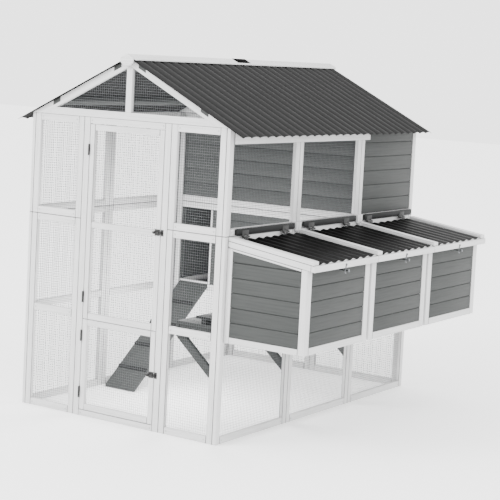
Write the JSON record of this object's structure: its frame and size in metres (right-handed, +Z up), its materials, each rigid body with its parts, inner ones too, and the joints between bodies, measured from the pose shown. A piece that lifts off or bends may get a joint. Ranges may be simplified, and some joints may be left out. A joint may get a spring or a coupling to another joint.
{
  "type": "chicken coop",
  "caption": "Walk-in timber chicken coop with mesh run, split door, gabled corrugated roof, raised house with ramp and lidded nest boxes along one side.",
  "frame": {"origin": "middle of the footprint of the whole coop, at ground level", "axes": "+Z up, the door faces -Y, the nest boxes are on the +X side"},
  "size_m": [1.9464, 2.075, 1.969],
  "materials": {
    "white_timber": "satin",
    "grey_timber": "matte",
    "dark_sheet": "matte",
    "wire_mesh": "satin",
    "black_steel": "satin",
    "bright_steel": "satin"
  },
  "bodies": {
    "coop": {"front_wall_frame": "white_timber", "door_frame": "white_timber", "left_wall_frame": "white_timber", "right_wall_frame": "white_timber", "rear_wall_frame": "white_timber", "front_wall_mesh": "wire_mesh", "left_wall_mesh": "wire_mesh", "right_wall_mesh": "wire_mesh", "rear_wall_mesh": "wire_mesh", "front_truss": "white_timber", "house_truss": "white_timber", "rear_truss": "white_timber", "front_gable_mesh": "wire_mesh", "roof_purlins": "grey_timber", "roof_sheet_left": "dark_sheet", "roof_sheet_right": "dark_sheet", "ridge_cap": "white_timber", "ridge_joint_plate": "dark_sheet", "ridge_end_plates": "white_timber", "eave_board": "white_timber", "house_front_frame": "white_timber", "house_front_boards": "grey_timber", "house_left_boards": "grey_timber", "house_right_boards": "grey_timber", "house_rear_boards": "grey_timber", "house_corner_batten": "white_timber", "house_floor": "grey_timber", "perches": "grey_timber", "pop_door_guides": "grey_timber", "ramp_board": "grey_timber", "ramp_cleats": "grey_timber", "nest_shelf": "grey_timber", "shelf_step": "grey_timber", "shelf_struts": "grey_timber", "nest_box_frames": "white_timber", "nest_box_boards": "grey_timber", "nest_box_floors": "grey_timber", "lid_hinge_boards": "grey_timber", "lid_hinge_fixed": "black_steel", "hook_studs": "bright_steel", "door_hinge_fixed": "black_steel", "bolt_keepers": "black_steel"},
    "upper_door": {"upper_door_frame": "white_timber", "upper_door_mesh": "wire_mesh", "upper_door_fittings": "black_steel"},
    "upper_door_bolt": {"upper_bolt": "black_steel"},
    "lower_door": {"lower_door_frame": "white_timber", "lower_door_mesh": "wire_mesh", "lower_door_fittings": "black_steel"},
    "lower_door_bolt": {"lower_bolt": "black_steel"},
    "sliding_door": {"pop_door": "grey_timber"},
    "lid_1": {"lid_1_frame": "white_timber", "lid_1_sheet": "dark_sheet"},
    "latch_hook_1": {"lid_1_hook": "bright_steel"},
    "lid_2": {"lid_2_frame": "white_timber", "lid_2_sheet": "dark_sheet"},
    "latch_hook_2": {"lid_2_hook": "bright_steel"},
    "lid_3": {"lid_3_frame": "white_timber", "lid_3_sheet": "dark_sheet"},
    "latch_hook_3": {"lid_3_hook": "bright_steel"}
  },
  "joints": [
    {"name": "upper_door_hinge", "type": "hinge", "parent": "coop", "child": "upper_door", "pos_m": [-0.46828, -1.011, 1.04997], "axis": [0, 0, -1], "range_deg": [0, 135]},
    {"name": "upper_bolt_slide", "type": "slide", "parent": "upper_door", "child": "upper_door_bolt", "axis": [1, 0, 0], "range_m": [0, 0.013]},
    {"name": "lower_door_hinge", "type": "hinge", "parent": "coop", "child": "lower_door", "pos_m": [-0.46828, -1.011, 0.28497], "axis": [0, 0, -1], "range_deg": [0, 135]},
    {"name": "lower_bolt_slide", "type": "slide", "parent": "lower_door", "child": "lower_door_bolt", "axis": [1, 0, 0], "range_m": [0, 0.013]},
    {"name": "lid_1_hinge", "type": "hinge", "parent": "coop", "child": "lid_1", "pos_m": [0.46422, -0.6675, 1.06597], "axis": [0, -1, 0], "range_deg": [0, 85]},
    {"name": "lid_1_hook_pivot", "type": "hinge", "parent": "lid_1", "child": "latch_hook_1", "pos_m": [0.96072, -0.6775, 0.96629], "axis": [1, 0, 0], "range_deg": [-60, 20]},
    {"name": "lid_2_hinge", "type": "hinge", "parent": "coop", "child": "lid_2", "pos_m": [0.46422, -0.0185, 1.06597], "axis": [0, -1, 0], "range_deg": [0, 85]},
    {"name": "lid_2_hook_pivot", "type": "hinge", "parent": "lid_2", "child": "latch_hook_2", "pos_m": [0.96072, -0.0285, 0.96629], "axis": [1, 0, 0], "range_deg": [-60, 20]},
    {"name": "lid_3_hinge", "type": "hinge", "parent": "coop", "child": "lid_3", "pos_m": [0.46422, 0.6305, 1.06597], "axis": [0, -1, 0], "range_deg": [0, 85]},
    {"name": "lid_3_hook_pivot", "type": "hinge", "parent": "lid_3", "child": "latch_hook_3", "pos_m": [0.96072, 0.6205, 0.96629], "axis": [1, 0, 0], "range_deg": [-60, 20]},
    {"name": "sliding_door_slide", "type": "slide", "parent": "coop", "child": "sliding_door", "axis": [0, 0, 1], "range_m": [-0.462, 0]}
  ]
}
